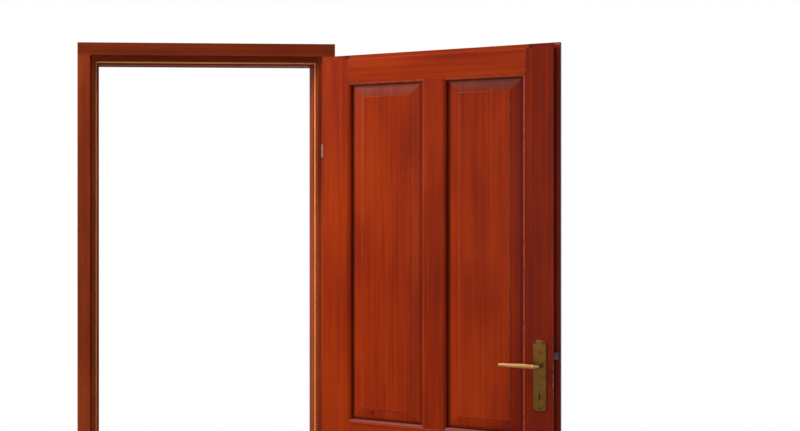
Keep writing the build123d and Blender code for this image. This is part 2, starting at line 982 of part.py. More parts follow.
with BuildPart() as lock_follower:
    side_v = lock_centre - follower_thickness / 2
    rod(upper.side(lever_u, lever_height, side_v, True), follower_radius, follower_thickness)
    rod(
        upper.side(lever_u, lever_height, lock_centre - case_thickness / 2, True),
        follower_boss_radius,
        case_thickness,
    )
    slab(
        upper.side(lever_u, lever_height, side_v, True),
        -arm_width / 2,
        arm_width / 2,
        0,
        arm_reach,
        follower_thickness,
    )
    with BuildSketch(upper.side(lever_u, lever_height, lock_centre, True)):
        Rectangle(spindle_side + 2 * spindle_play, spindle_side + 2 * spindle_play)
    extrude(amount=case_thickness, both=True, mode=Mode.SUBTRACT)

with BuildPart() as lever_spindle:
    with BuildSketch(upper.side(lever_u, lever_height, outer_face - spindle_grip, True)):
        Rectangle(spindle_side, spindle_side)
    extrude(amount=leaf_thickness + 2 * spindle_grip)

with BuildPart() as latch_bolt:
    body_start = layer_end - latch_body
    nose_end = layer_end + latch_throw
    low_v = lock_centre - latch_thickness / 2
    high_v = lock_centre + latch_thickness / 2
    with BuildSketch(upper.plan(latch_z + latch_height / 2)):
        with BuildLine():
            Polyline(
                (body_start, low_v),
                (nose_end, low_v),
                (nose_end, low_v + latch_nose),
                (layer_end, high_v),
                (body_start, high_v),
                close=True,
            )
        make_face()
    extrude(amount=latch_height)
    slab(
        upper.end(hook_start),
        latch_z - tail_height / 2,
        latch_z + tail_height / 2,
        lock_centre - tail_thickness / 2,
        lock_centre + tail_thickness / 2,
        body_start - hook_start,
    )
    slab(
        upper.end(hook_start),
        latch_z - tail_height / 2 - hook_drop,
        latch_z,
        lock_centre - tail_thickness / 2,
        lock_centre + tail_thickness / 2,
        hook_width,
    )

with BuildPart() as dead_bolt:
    slab(
        upper.end(layer_end - dead_bolt_body),
        dead_bolt_z - dead_bolt_height / 2,
        dead_bolt_z + dead_bolt_height / 2,
        lock_centre - dead_bolt_thickness / 2,
        lock_centre + dead_bolt_thickness / 2,
        dead_bolt_body,
    )
    slab(
        upper.end(layer_end - dead_bolt_body - dead_bolt_tail),
        dead_bolt_z,
        dead_bolt_z + dead_bolt_height / 2,
        lock_centre - dead_bolt_tail_thickness / 2,
        lock_centre + dead_bolt_tail_thickness / 2,
        dead_bolt_tail,
    )


def backplate(room):
    """A long plate with arched ends, a bevelled rim, a collar, a keyhole and three screws."""
    surface = room_face if room else outer_face
    foot_plane = upper.side(lever_u, plate_foot, surface, room)
    lever_plane = upper.side(lever_u, lever_height, surface, room)
    key_plane = upper.side(lever_u, key_height, surface, room)
    half = plate_width / 2
    with BuildPart() as plate:
        with BuildSketch(foot_plane):
            with BuildLine():
                ThreePointArc((-half, plate_rise), (0, 0), (half, plate_rise))
                Line((half, plate_rise), (half, plate_length - plate_rise))
                ThreePointArc(
                    (half, plate_length - plate_rise),
                    (0, plate_length),
                    (-half, plate_length - plate_rise),
                )
                Line((-half, plate_length - plate_rise), (-half, plate_rise))
            make_face()
            fillet(vertices(), plate_corner)
        extrude(amount=plate_thickness)
        rim = plate.faces().sort_by(Axis(foot_plane.origin, foot_plane.z_dir))[-1]
        chamfer(rim.edges(), plate_bevel)
        rod(lever_plane, collar_radius, plate_thickness + collar_height)
        rod(lever_plane, neck_radius + neck_play, lever_stand_off, Mode.SUBTRACT)
        keyhole(key_plane, 0, lever_stand_off)
        screw_holes(plate_screw_places(room))
    return plate


def lever(room):
    """A lever handle: round neck, quarter bend, and a straight grip that flattens and tapers."""
    surface = room_face if room else outer_face
    normal = upper.inward if room else -upper.inward
    base = Plane(upper.point(lever_u, lever_height, surface), x_dir=-upper.along, z_dir=normal)
    bend_at = lever_stand_off - elbow_radius
    with BuildPart() as handle:
        rod(base.offset(neck_play), neck_radius, bend_at - neck_play)
        with BuildSketch(base.offset(bend_at)):
            Circle(neck_radius)
        bend_axis = base.origin + base.x_dir * elbow_radius + base.z_dir * bend_at
        revolve(axis=Axis(bend_axis, base.y_dir), revolution_arc=90)
        for reach, half_height, flatness in (
            (elbow_radius, neck_radius, 1),
            (grip_start, grip_radius, grip_flatness),
            (lever_length, tip_radius, grip_flatness),
        ):
            middle = base.origin + base.x_dir * reach + base.z_dir * lever_stand_off
            with BuildSketch(Plane(middle, x_dir=base.y_dir, z_dir=base.x_dir)):
                Ellipse(half_height, half_height * flatness)
        loft()
        tip = handle.faces().sort_by(Axis(base.origin, base.x_dir))[-1]
        fillet(tip.edges(), tip_rounding)
        with BuildSketch(base):
            Rectangle(spindle_side + 2 * spindle_play, spindle_side + 2 * spindle_play)
        extrude(amount=spindle_grip + neck_play, mode=Mode.SUBTRACT)
    return handle


backplate_inside = backplate(True)
backplate_outside = backplate(False)
lever_inside = lever(True)
lever_outside = lever(False)

with BuildPart() as backplate_screws_inside:
    screws(plate_screw_places(True))

with BuildPart() as backplate_screws_outside:
    screws(plate_screw_places(False))


# Sliding bolts
def bolt_plate(place, travel):
    """A plate with two bridge guides, in which a round bolt slides."""
    length = bolt_plate_length(travel)
    outer = bolt_radius + bolt_running_clearance + bolt_guide_wall
    with BuildPart() as plate:
        with BuildSketch(place):
            with Locations((-length / 2, 0)):
                RectangleRounded(length, bolt_plate_width, strike_corner)
        extrude(amount=bolt_plate_thickness)
        for start in (-bolt_guide_inset, bolt_guide_inset + bolt_guide_width - length):
            end_plane = Plane(
                place.origin + place.x_dir * start, x_dir=place.y_dir, z_dir=-place.x_dir
            )
            rise = -bolt_axis_height
            with BuildSketch(end_plane):
                with Locations((0, rise)):
                    Circle(outer)
                with Locations((0, rise / 2)):
                    Rectangle(2 * outer, bolt_axis_height)
            extrude(amount=bolt_guide_width)
            with BuildSketch(end_plane):
                with Locations((0, rise)):
                    Circle(bolt_radius + bolt_running_clearance)
            extrude(amount=bolt_guide_width, mode=Mode.SUBTRACT)
        screw_holes(bolt_screw_places(place, travel))
    return plate


def sliding_bolt(place, travel, reach):
    """A round bolt, drawn back, whose tip stands out of its plate by reach."""
    back = bolt_plate_length(travel) - bolt_guide_inset + travel
    knob_at = back - travel - bolt_guide_width - knob_play - knob_radius
    axis_origin = place.origin + place.z_dir * bolt_axis_height
    with BuildPart() as bolt:
        rod(
            Plane(axis_origin - place.x_dir * back, x_dir=place.y_dir, z_dir=place.x_dir),
            bolt_radius,
            back + reach,
        )
        ends = bolt.edges().filter_by(GeomType.CIRCLE)
        chamfer(ends, bolt_chamfer)
        rod(
            Plane(axis_origin - place.x_dir * knob_at, x_dir=place.x_dir, z_dir=place.z_dir),
            knob_radius,
            bolt_radius + knob_height,
        )
        knob_top = bolt.faces().sort_by(Axis(place.origin, place.z_dir))[-1]
        fillet(knob_top.edges(), bolt_chamfer)
    return bolt


joining_bolt_plate = bolt_plate(joining_place, joining_bolt_travel)
joining_bolt = sliding_bolt(joining_place, joining_bolt_travel, joining_bolt_reach)
side_bolt_plate = bolt_plate(side_place, side_bolt_travel)
side_bolt = sliding_bolt(side_place, side_bolt_travel, side_bolt_reach)

with BuildPart() as joining_bolt_screws:
    screws(joining_screw_places)

with BuildPart() as side_bolt_screws:
    screws(side_screw_places)

# Every piece under its own name
pieces = {
    "jamb_hinge_side": jamb_hinge_side,
    "jamb_lock_side": jamb_lock_side,
    "head": head,
    "threshold": threshold,
    "frame_seal": frame_seal,
    "strike_plate": strike_plate,
    "strike_screws": strike_screws,
    "side_bolt_keeper": side_bolt_keeper,
    "keeper_screws": keeper_screws,
    "upper_hinge_stile": upper_hinge_stile,
    "upper_lock_stile": upper_lock_stile,
    "upper_top_rail": upper_top_rail,
    "upper_bottom_rail": upper_bottom_rail,
    "upper_muntin": upper_muntin,
    "upper_panel_hinge_side": upper_panel_hinge_side,
    "upper_panel_lock_side": upper_panel_lock_side,
    "lower_hinge_stile": lower_hinge_stile,
    "lower_lock_stile": lower_lock_stile,
    "lower_top_rail": lower_top_rail,
    "lower_bottom_rail": lower_bottom_rail,
    "lower_muntin": lower_muntin,
    "lower_panel_hinge_side": lower_panel_hinge_side,
    "lower_panel_lock_side": lower_panel_lock_side,
    "lower_ledge": lower_ledge,
    "ledge_ferrule": ledge_ferrule,
    "lock_case": lock_case,
    "lock_faceplate": lock_faceplate,
    "faceplate_screws": faceplate_screws,
    "lock_follower": lock_follower,
    "lever_spindle": lever_spindle,
    "latch_bolt": latch_bolt,
    "dead_bolt": dead_bolt,
    "backplate_inside": backplate_inside,
    "backplate_outside": backplate_outside,
    "backplate_screws_inside": backplate_screws_inside,
    "backplate_screws_outside": backplate_screws_outside,
    "lever_inside": lever_inside,
    "lever_outside": lever_outside,
    "joining_bolt_plate": joining_bolt_plate,
    "joining_bolt": joining_bolt,
    "joining_bolt_screws": joining_bolt_screws,
    "side_bolt_plate": side_bolt_plate,
    "side_bolt": side_bolt,
    "side_bolt_screws": side_bolt_screws,
}
for leaf, heights in ((upper, upper_hinges), (lower, lower_hinges)):
    for place_name, height in heights.items():
        pieces[f"hinge_frame_half_{place_name}"] = hinge_frame_half(height)
        pieces[f"hinge_leaf_half_{place_name}"] = hinge_leaf_half(leaf, height)
        pieces[f"hinge_washer_{place_name}"] = hinge_washer(height)

os.makedirs("parts", exist_ok=True)
for name, piece in pieces.items():
    piece.part.label = name
    export_step(piece.part, f"parts/{name}.step")
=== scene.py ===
"""Looks of a dutch stable door: eased and stained timber, brass and plated furniture, and a studio.

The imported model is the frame. Timber members and screws are welded copies of its nodes, the
timber with its arrises eased and the screws with their driver slots cut. Every other piece is
its own node with a finish.
"""

import json
import math

import bmesh
import bpy
from mathutils import Matrix, Vector

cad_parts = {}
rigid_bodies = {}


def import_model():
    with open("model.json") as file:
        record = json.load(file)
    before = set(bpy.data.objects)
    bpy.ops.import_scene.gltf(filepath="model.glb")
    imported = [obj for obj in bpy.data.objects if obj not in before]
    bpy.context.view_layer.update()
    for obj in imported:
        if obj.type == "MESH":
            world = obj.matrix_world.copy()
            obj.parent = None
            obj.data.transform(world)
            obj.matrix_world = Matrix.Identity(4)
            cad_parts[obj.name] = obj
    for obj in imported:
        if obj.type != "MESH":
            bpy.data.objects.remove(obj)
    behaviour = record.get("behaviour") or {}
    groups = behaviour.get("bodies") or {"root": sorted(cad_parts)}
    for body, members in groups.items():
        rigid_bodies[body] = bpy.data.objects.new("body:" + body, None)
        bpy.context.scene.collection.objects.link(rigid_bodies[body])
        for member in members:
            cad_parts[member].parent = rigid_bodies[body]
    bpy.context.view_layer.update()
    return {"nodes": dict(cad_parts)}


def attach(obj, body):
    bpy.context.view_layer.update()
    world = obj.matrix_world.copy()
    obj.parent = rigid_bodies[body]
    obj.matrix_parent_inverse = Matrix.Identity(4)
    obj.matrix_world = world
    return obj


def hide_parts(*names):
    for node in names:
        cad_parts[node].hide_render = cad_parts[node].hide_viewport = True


bl_info = {
    "name": "Dutch Stable Door",
    "version": (1, 0, 0),
    "blender": (4, 5, 0),
    "location": "View3D > Sidebar > Stable Door",
    "description": "Finishes a packed dutch stable door and sets it in a studio",
    "category": "Object",
}

# The scene starts empty, so that only the door is measured
for leftover in list(bpy.data.objects):
    bpy.data.objects.remove(leftover)

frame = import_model()

# Hinge axis of both leaves, and how far the upper one stands open at rest
HINGE_AXIS = Vector((0.386, -0.063, 0.0))
UPPER_OPENING = math.radians(148.5)
SHUT = 0.0

# Timber members: name, length direction in the leaf's own axes, and how much paler or darker than the
# rest it is drawn. Mostly that is the stain its board took, but the lock stile's dark tone is painted
# shade
UPRIGHT = Vector((0, 0, 1))
ACROSS = Vector((1, 0, 0))
FRAME_TIMBER = (
    ("jamb_hinge_side", UPRIGHT, 0.0),
    ("jamb_lock_side", UPRIGHT, 0.0),
    ("head", ACROSS, -0.16),
    ("threshold", ACROSS, -0.08),
)
LEAF_TIMBER = (
    ("hinge_stile", UPRIGHT, 0.01),
    # The lock stile is drawn darker as painted shade
    ("lock_stile", UPRIGHT, -0.22),
    ("top_rail", ACROSS, 0.0),
    ("bottom_rail", ACROSS, 0.0),
    ("muntin", UPRIGHT, -0.04),
    ("panel_hinge_side", UPRIGHT, -0.01),
    ("panel_lock_side", UPRIGHT, -0.03),
)
LEDGE = ("ledge", ACROSS, 0.0)

# Numbers of the boards that the members are sawn from
FIRST_UPPER_BOARD = 0
FIRST_LOWER_BOARD = 10
FIRST_FRAME_BOARD = 20

# The side of each member on which it meets the edge of a panel
EVERY_SIDE = Vector((0, 0, 0))
PANEL_SIDES = {
    "hinge_stile": -ACROSS,
    "lock_stile": ACROSS,
    "top_rail": -UPRIGHT,
    "bottom_rail": UPRIGHT,
    "muntin": EVERY_SIDE,
    "panel_hinge_side": EVERY_SIDE,
    "panel_lock_side": EVERY_SIDE,
}

# Members whose edge towards the lock is drawn darker in its hollow, as painted shade, and how much
# darker it is
PAINTED_SHADE_EDGES = {"panel_lock_side": -0.26}

# Members whose mouldings get a painted highlight along their crest, drawn as stain rubbed thin
HIGHLIGHTED_MOULDINGS = ("lock_stile", "top_rail")

# Sets of slotted wood screws: node, body and material slot
SCREWS = (
    ("backplate_screws_inside", "upper_leaf", "brass"),
    ("backplate_screws_outside", "upper_leaf", "brass"),
    ("faceplate_screws", "upper_leaf", "zinc_steel"),
    ("joining_bolt_screws", "upper_leaf", "zinc_steel"),
    ("side_bolt_screws", "lower_leaf", "zinc_steel"),
    ("strike_screws", "frame", "zinc_steel"),
    ("keeper_screws", "frame", "zinc_steel"),
)

# CAD points closer than this are one point, and faces that turn less than this are one face
WELD = 0.00001
FLAT = math.radians(0.3)

# Edges of timber that get eased: how sharp they are, and their least length in widths of easing
SHARP_EDGE = math.radians(30)
LONG_EDGE = 12

# Faces of timber above this area are planed flat, so two of them meet in a crisp line. Smaller
# faces that meet at less than the angle are shaded as one curve
BROAD_FACE = 0.003
CURVE_ANGLE = math.radians(50)

# Where a hollow starts below a member's face and where it is deepest, as shares of the member's
# half thickness
HOLLOW_RIM = 0.05
HOLLOW_FOOT = 0.5

# How far apart along the log two boards are cut
LOG_STEP = 1.37

# Crest of a moulding, as how squarely its faces look out of the leaf, and how strong its painted
# highlight is
CREST_EDGE = 0.45
CREST_TOP = 0.97
CREST_HIGHLIGHT = 0.85

# Length of the blade that cuts a driver slot, longer than any screw's head is wide, and how the
# slots of a set are turned: the first one, and each from the one before
SLOT_LENGTH = 0.012
FIRST_SLOT = 0.35
NEXT_SLOT = 0.9

# Tones drawn on a surface: dust with a painted sheen, painted shade in corners, and the bloom of
# rubber
DUST_AND_SHEEN_TONE = "#94857B"
CORNER_SHADE_TONE = "#2E0D04"
BLOOM_TONE = "#A8703C"

# Size of the round floor, and the distances from its middle between which it fades to white
FLOOR_RADIUS = 3.6
FADE_START = 0.9
FADE_END = 2.6

# Shift of the picture, in widths, because the photograph isn't centred on what its lens faced
SHIFT_ACROSS = 0.25
SHIFT_UP = -0.015

# Roughness of timber with no stain left on it
BARE_ROUGHNESS = 0.8

# A wave texture of scale 1 has a period of 0.314 in its own units
WAVE_PERIOD = 0.314

# Lamps: name, place, what it points at, side length and watts
LAMPS = (
    ("Key_lamp", (-2.6, -0.55, 2.8), (0.4, -0.2, 1.4), 0.7, 102),
    ("Front_lamp", (-1.5, -3.8, 1.7), (0.1, -0.1, 1.1), 1.8, 36),
    ("Top_lamp", (0.4, -0.6, 3.7), (0.4, -0.3, 1.0), 0.9, 22),
    ("Rear_lamp", (1.6, 3.2, 2.4), (0.2, 0.0, 1.1), 2.4, 60),
)

# Sockets of a Mix node, whose names repeat: for colours, and for numbers
MIX_A, MIX_B, MIX_OUT = 6, 7, 2
NUMBER_A, NUMBER_B, NUMBER_OUT = 2, 3, 0


# Materials
def linear(hex_colour):
    """A hex sRGB colour as linear red, green, blue and a full alpha."""
    values = [int(hex_colour[i : i + 2], 16) / 255 for i in (1, 3, 5)]
    return tuple(v / 12.92 if v <= 0.04045 else ((v + 0.055) / 1.055) ** 2.4 for v in values) + (1.0,)


def add(tree, kind, inputs=None, **settings):
    """Adds one node. Its inputs are plain values or the outputs of other nodes."""
    made = tree.nodes.new(kind)
    for key, value in settings.items():
        setattr(made, key, value)
    for key, value in (inputs or {}).items():
        if isinstance(value, bpy.types.NodeSocket):
            tree.links.new(value, made.inputs[key])
        else:
            made.inputs[key].default_value = value
    return made


def new_material(name):
    """An empty material with a Principled shader: its tree and that shader."""
    material = bpy.data.materials.new(name)
    material.use_nodes = True
    tree = material.node_tree
    return material, tree, tree.nodes["Principled BSDF"]


def planed_board(tree, board, look):
    """The rings, bundles of fibre, single fibres and patches that a planed board shows."""
    # All are drawn out along the member, as the saw leaves them
    drawn_out = add(
        tree, "ShaderNodeVectorMath", {0: board, 1: (1, 1, 0.025)}, operation="MULTIPLY"
    ).outputs[0]
    rings = add(
        tree,
        "ShaderNodeTexWave",
        {
            "Vector": drawn_out,
            "Scale": WAVE_PERIOD / look.ring_spacing,
            "Distortion": 4.0,
            "Detail": 3.0,
            "Detail Scale": 0.35,
            "Detail Roughness": 0.6,
        },
        wave_type="RINGS",
        rings_direction="Z",
        wave_profile="SAW",
    ).outputs["Fac"]
    # Bundles of fibre are 10 mm wide, and patches a hand. A fibre is drawn 1 mm wide, many times
    # its real width, because it wouldn't show otherwise
    bundles = add(
        tree, "ShaderNodeTexNoise", {"Vector": drawn_out, "Scale": 100.0, "Detail": 3.0}
    ).outputs["Fac"]
    fibres = add(
        tree, "ShaderNodeTexNoise", {"Vector": drawn_out, "Scale": 900.0, "Detail": 2.0}
    ).outputs["Fac"]
    half_drawn = add(
        tree, "ShaderNodeVectorMath", {0: board, 1: (1, 1, 0.3)}, operation="MULTIPLY"
    ).outputs[0]
    patches = add(
        tree, "ShaderNodeTexNoise", {"Vector": half_drawn, "Scale": 9.0, "Detail": 2.0}
    ).outputs["Fac"]
    return rings, bundles, fibres, patches


def sunk_stain(tree, look, growth, soak_and_shade, end_grain):
    """The colour of the stain: deep where the timber drank much of it, and pale where little."""
    rings, bundles, fibres, patches = growth
    # Faces cut across the grain drink more, even where they only slope a little
    tone = add(
        tree,
        "ShaderNodeMapRange",
        {"Value": end_grain, "From Min": 0.02, "From Max": 0.3, "To Min": 0.0, "To Max": -0.14},
    ).outputs["Result"]
    # The tone of each member and bevel is partly its stain and partly painted shade
    tone = add(tree, "ShaderNodeMath", {0: tone, 1: soak_and_shade}, operation="ADD").outputs[0]
    for part, share in ((bundles, 0.34), (fibres, 0.12), (patches, 0.44), (rings, 0.1)):
        tone = add(
            tree, "ShaderNodeMath", {0: part, 1: share, 2: tone}, operation="MULTIPLY_ADD"
        ).outputs[0]
    colour = (*look.deep, 1)
    for low, high, paler in ((0.26, 0.5, look.stain), (0.46, 0.7, look.pale)):
        share = add(
            tree, "ShaderNodeMapRange", {"Value": tone, "From Min": low, "From Max": high}
        ).outputs["Result"]
        colour = add(
            tree,
            "ShaderNodeMix",
            {0: share, MIX_A: colour, MIX_B: (*paler, 1)},
            data_type="RGBA",
        ).outputs[MIX_OUT]
    return colour


def dust_and_painted_sheen(tree, look, colour, hollow, patches):
    """Fine dust and a painted sheen on all that looks upwards, and in the hollow foot of the panels'
    top bevels: the pale grey stands partly for dust and partly for the sky's reflection.
    """
    upright = add(
        tree,
        "ShaderNodeSeparateXYZ",
        {"Vector": add(tree, "ShaderNodeNewGeometry").outputs["Normal"]},
    ).outputs["Z"]
    # Painted sheen with the dust: faces that look up are paled towards grey as if they mirrored the
    # sky
    dusty = add(
        tree,
        "ShaderNodeMapRange",
        {"Value": upright, "From Min": 0.03, "From Max": 0.1, "To Max": look.dust},
    ).outputs["Result"]
    level = add(
        tree, "ShaderNodeMapRange", {"Value": upright, "From Min": 0.12, "From Max": 0.35}
    ).outputs["Result"]
    lies = add(tree, "ShaderNodeMath", {0: level, 1: hollow}, operation="MAXIMUM").outputs[0]
    for share in (patches, lies):
        dusty = add(tree, "ShaderNodeMath", {0: dusty, 1: share}, operation="MULTIPLY").outputs[0]
    return add(
        tree,
        "ShaderNodeMix",
        {0: dusty, MIX_A: colour, MIX_B: linear(DUST_AND_SHEEN_TONE)},
        data_type="RGBA",
    ).outputs[MIX_OUT]


def painted_corner_shade(tree, colour, hollow, corner_shade):
    """Painted shade: a dark line in the corner between the panels and the mouldings, where the
    mouldings' shadow falls.
    """
    corner = add(
        tree,
        "ShaderNodeMapRange",
        {"Value": hollow, "From Min": 0.78, "From Max": 1.0, "To Max": corner_shade},
    ).outputs["Result"]
    return add(
        tree,
        "ShaderNodeMix",
        {0: corner, MIX_A: colour, MIX_B: linear(CORNER_SHADE_TONE)},
        data_type="RGBA",
    ).outputs[MIX_OUT]


def rubbed_stain_and_highlight(tree, look, colour, arris, place):
    """Stain rubbed thin along the eased arrises, which also draws a painted highlight there and on the
    marked crests, more in some places than others, 22 mm apart.
    """
    scuffs = add(
        tree, "ShaderNodeTexNoise", {"Vector": place, "Scale": 45.0, "Detail": 3.0}
    ).outputs["Fac"]
    rubbed = add(
        tree, "ShaderNodeMapRange", {"Value": scuffs, "From Min": 0.2, "From Max": 0.65}
    ).outputs["Result"]
    for share in (arris, look.arris_wear):
        rubbed = add(tree, "ShaderNodeMath", {0: rubbed, 1: share}, operation="MULTIPLY").outputs[0]
    return add(
        tree,
        "ShaderNodeMix",
        {0: rubbed, MIX_A: colour, MIX_B: (*look.rubbed, 1)},
        data_type="RGBA",
    ).outputs[MIX_OUT]


def spot(tree, place, centre, size):
    """How far a point lies from the centre of an oval spot, with its rim at 1."""
    local = add(
        tree,
        "ShaderNodeMapping",
        {"Vector": place, "Location": centre, "Scale": size},
        vector_type="TEXTURE",
    ).outputs["Vector"]
    return add(tree, "ShaderNodeVectorMath", {0: local}, operation="LENGTH").outputs["Value"]


def dark_knots(tree, look, colour, leaf_place, knots):
    """Knots: dark round spots with a soft rim."""
    for centre, size in knots:
        depth = add(
            tree,
            "ShaderNodeMapRange",
            {
                "Value": spot(tree, leaf_place, centre, size),
                "From Min": 0.35,
                "From Max": 1.0,
                "To Min": 0.75,
                "To Max": 0.0,
            },
        ).outputs["Result"]
        colour = add(
            tree,
            "ShaderNodeMix",
            {0: depth, MIX_A: colour, MIX_B: (*look.knot, 1)},
            data_type="RGBA",
        ).outputs[MIX_OUT]
    return colour


def bare_timber(tree, place, leaf_place, worn_places):
    """Where the stain has worn off, with a ragged edge."""
    worn = 0.0
    for centre, size, strength in worn_places:
        here = add(
            tree,
            "ShaderNodeMapRange",
            {"Value": spot(tree, leaf_place, centre, size), "To Min": strength, "To Max": 0.0},
        ).outputs["Result"]
        worn = add(tree, "ShaderNodeMath", {0: here, 1: worn}, operation="MAXIMUM").outputs[0]
    # Torn in bits 8 mm wide
    ragged = add(
        tree, "ShaderNodeTexNoise", {"Vector": place, "Scale": 130.0, "Detail": 5.0}
    ).outputs["Fac"]
    bare = add(tree, "ShaderNodeMath", {0: worn, 1: ragged}, operation="MULTIPLY").outputs[0]
    return add(
        tree, "ShaderNodeMapRange", {"Value": bare, "From Min": 0.24, "From Max": 0.4}
    ).outputs["Result"]


def stained_softwood(name, look, opening, corner_shade=0.0, worn_places=(), knots=()):
    """Planed softwood under a brushed semi-gloss stain.

    The stain sinks deeper into the soft early rings than the hard late ones, so the eye gets
    soft streaks along each member, a thin film's sheen, and bare grey timber where it has worn.
    """
    material, tree, shader = new_material(name)
    board = add(tree, "ShaderNodeAttribute", attribute_name="board").outputs["Vector"]
    arris = add(tree, "ShaderNodeAttribute", attribute_name="arris").outputs["Fac"]
    soak_and_shade = add(tree, "ShaderNodeAttribute", attribute_name="soak_and_shade").outputs["Fac"]
    end_grain = add(tree, "ShaderNodeAttribute", attribute_name="end_grain").outputs["Fac"]
    hollow = add(tree, "ShaderNodeAttribute", attribute_name="hollow").outputs["Fac"]
    place = add(tree, "ShaderNodeTexCoord").outputs["Object"]
    leaf_place = add(
        tree,
        "ShaderNodeMapping",
        {"Vector": place, "Location": HINGE_AXIS, "Rotation": (0, 0, opening)},
        vector_type="TEXTURE",
    ).outputs["Vector"]

    growth = planed_board(tree, board, look)
    rings, bundles, fibres, patches = growth
    colour = sunk_stain(tree, look, growth, soak_and_shade, end_grain)
    # Dust and painted sheen on faces that look upwards
    colour = dust_and_painted_sheen(tree, look, colour, hollow, patches)
    # Painted shade along the corners where the panels meet the mouldings
    if corner_shade:
        colour = painted_corner_shade(tree, colour, hollow, corner_shade)
    # Rubbed stain and painted highlights along the arrises
    colour = rubbed_stain_and_highlight(tree, look, colour, arris, place)
    colour = dark_knots(tree, look, colour, leaf_place, knots)
    film = add(
        tree,
        "ShaderNodeMapRange",
        {"Value": bundles, "To Min": look.roughness - 0.07, "To Max": look.roughness + 0.09},
    ).outputs["Result"]
    if worn_places:
        bare = bare_timber(tree, place, leaf_place, worn_places)
        colour = add(
            tree,
            "ShaderNodeMix",
            {0: bare, MIX_A: colour, MIX_B: (*look.bare, 1)},
            data_type="RGBA",
        ).outputs[MIX_OUT]
        film = add(
            tree, "ShaderNodeMix", {0: bare, NUMBER_A: film, NUMBER_B: BARE_ROUGHNESS}
        ).outputs[NUMBER_OUT]

    relief = fibres
    for part, share in ((rings, 0.35), (bundles, 1.2)):
        relief = add(
            tree, "ShaderNodeMath", {0: part, 1: share, 2: relief}, operation="MULTIPLY_ADD"
        ).outputs[0]
    normal = add(
        tree, "ShaderNodeBump", {"Height": relief, "Strength": 0.3, "Distance": 0.00012}
    ).outputs["Normal"]
    tree.links.new(colour, shader.inputs["Base Color"])
    tree.links.new(film, shader.inputs["Roughness"])
    tree.links.new(normal, shader.inputs["Normal"])
    shader.inputs["Specular IOR Level"].default_value = look.gloss
    return material


def cast_metal(name, bright, dull, roughness, grain, relief, cloudiness=1.0):
    """Metal that was cast or pressed, polished and left to tarnish: cloudy tone and fine scratches.

    grain is how many scratches lie in a metre, relief is their depth in metres, and cloudiness is
    how much the gloss varies, 1 for a surface that nobody polishes any more.
    """
    material, tree, shader = new_material(name)
    place = add(tree, "ShaderNodeTexCoord").outputs["Object"]
    # Clouds are 14 mm wide. Scratches are drawn a millimetre or more apart, coarser than real ones,
    # because they wouldn't show otherwise
    clouds = add(
        tree, "ShaderNodeTexNoise", {"Vector": place, "Scale": 70.0, "Detail": 4.0}
    ).outputs["Fac"]
    stretched = add(
        tree, "ShaderNodeVectorMath", {0: place, 1: (1, 1, 0.06)}, operation="MULTIPLY"
    ).outputs[0]
    scratches = add(
        tree, "ShaderNodeTexNoise", {"Vector": stretched, "Scale": grain, "Detail": 2.0}
    ).outputs["Fac"]
    mottle = add(
        tree, "ShaderNodeMath", {0: scratches, 1: 0.45, 2: clouds}, operation="MULTIPLY_ADD"
    ).outputs[0]
    share = add(
        tree, "ShaderNodeMapRange", {"Value": mottle, "From Min": 0.52, "From Max": 0.92}
    ).outputs["Result"]
    colour = add(
        tree,
        "ShaderNodeMix",
        {0: share, MIX_A: (*bright, 1), MIX_B: (*dull, 1)},
        data_type="RGBA",
    ).outputs[MIX_OUT]
    rough = add(
        tree,
        "ShaderNodeMapRange",
        {
            "Value": mottle,
            "From Min": 0.4,
            "From Max": 1.0,
            "To Min": roughness - 0.06 * cloudiness,
            "To Max": roughness + 0.1 * cloudiness,
        },
    ).outputs["Result"]
    normal = add(
        tree, "ShaderNodeBump", {"Height": scratches, "Strength": 0.25, "Distance": relief}
    ).outputs["Normal"]
    tree.links.new(colour, shader.inputs["Base Color"])
    tree.links.new(rough, shader.inputs["Roughness"])
    tree.links.new(normal, shader.inputs["Normal"])
    shader.inputs["Metallic"].default_value = 1.0
    return material


def extruded_rubber(name, colour):
    """Extruded sealing rubber: honey brown and half matt, with a dusty bloom that dulls it. The pale
    tone is partly the rubber's own and partly painted light, brightened so the seal looks lit in the
    shade of the rebate.
    """
    material, tree, shader = new_material(name)
    place = add(tree, "ShaderNodeTexCoord").outputs["Object"]
    # The bloom comes in patches 22 mm wide
    bloom = add(
        tree, "ShaderNodeTexNoise", {"Vector": place, "Scale": 45.0, "Detail": 5.0}
    ).outputs["Fac"]
    dusty = add(
        tree, "ShaderNodeMapRange", {"Value": bloom, "From Min": 0.4, "From Max": 0.75, "To Max": 0.35}
    ).outputs["Result"]
    mixed = add(
        tree,
        "ShaderNodeMix",
        {0: dusty, MIX_A: (*colour, 1), MIX_B: linear(BLOOM_TONE)},
        data_type="RGBA",
    ).outputs[MIX_OUT]
    normal = add(
        tree, "ShaderNodeBump", {"Height": bloom, "Strength": 0.2, "Distance": 0.0003}
    ).outputs["Normal"]
    tree.links.new(mixed, shader.inputs["Base Color"])
    tree.links.new(normal, shader.inputs["Normal"])
    shader.inputs["Roughness"].default_value = 0.5
    return material


# Shared steps
def finish_node(name, material):
    """Gives a CAD node one finish over its whole surface."""
    mesh = frame["nodes"][name].data
    mesh.materials.clear()
    mesh.materials.append(material)


def make_active(piece):
    """Leaves one object selected and active."""
    bpy.ops.object.select_all(action="DESELECT")
    piece.select_set(True)
    bpy.context.view_layer.objects.active = piece


def welded_copy(node, name):
    """A copy of a CAD node with its loose triangles merged and its flat faces made whole."""
    mesh = frame["nodes"][node].data.copy()
    mesh.name = name
    piece = bpy.data.objects.new(name, mesh)
    bpy.context.scene.collection.objects.link(piece)
    make_active(piece)
    bpy.ops.mesh.customdata_custom_splitnormals_clear()
    bpy.ops.object.mode_set(mode="EDIT")
    bpy.ops.mesh.select_all(action="SELECT")
    bpy.ops.mesh.remove_doubles(threshold=WELD)
    bpy.ops.mesh.dissolve_limited(angle_limit=FLAT)
    bpy.ops.mesh.normals_make_consistent(inside=False)
    bpy.ops.object.mode_set(mode="OBJECT")
    return piece


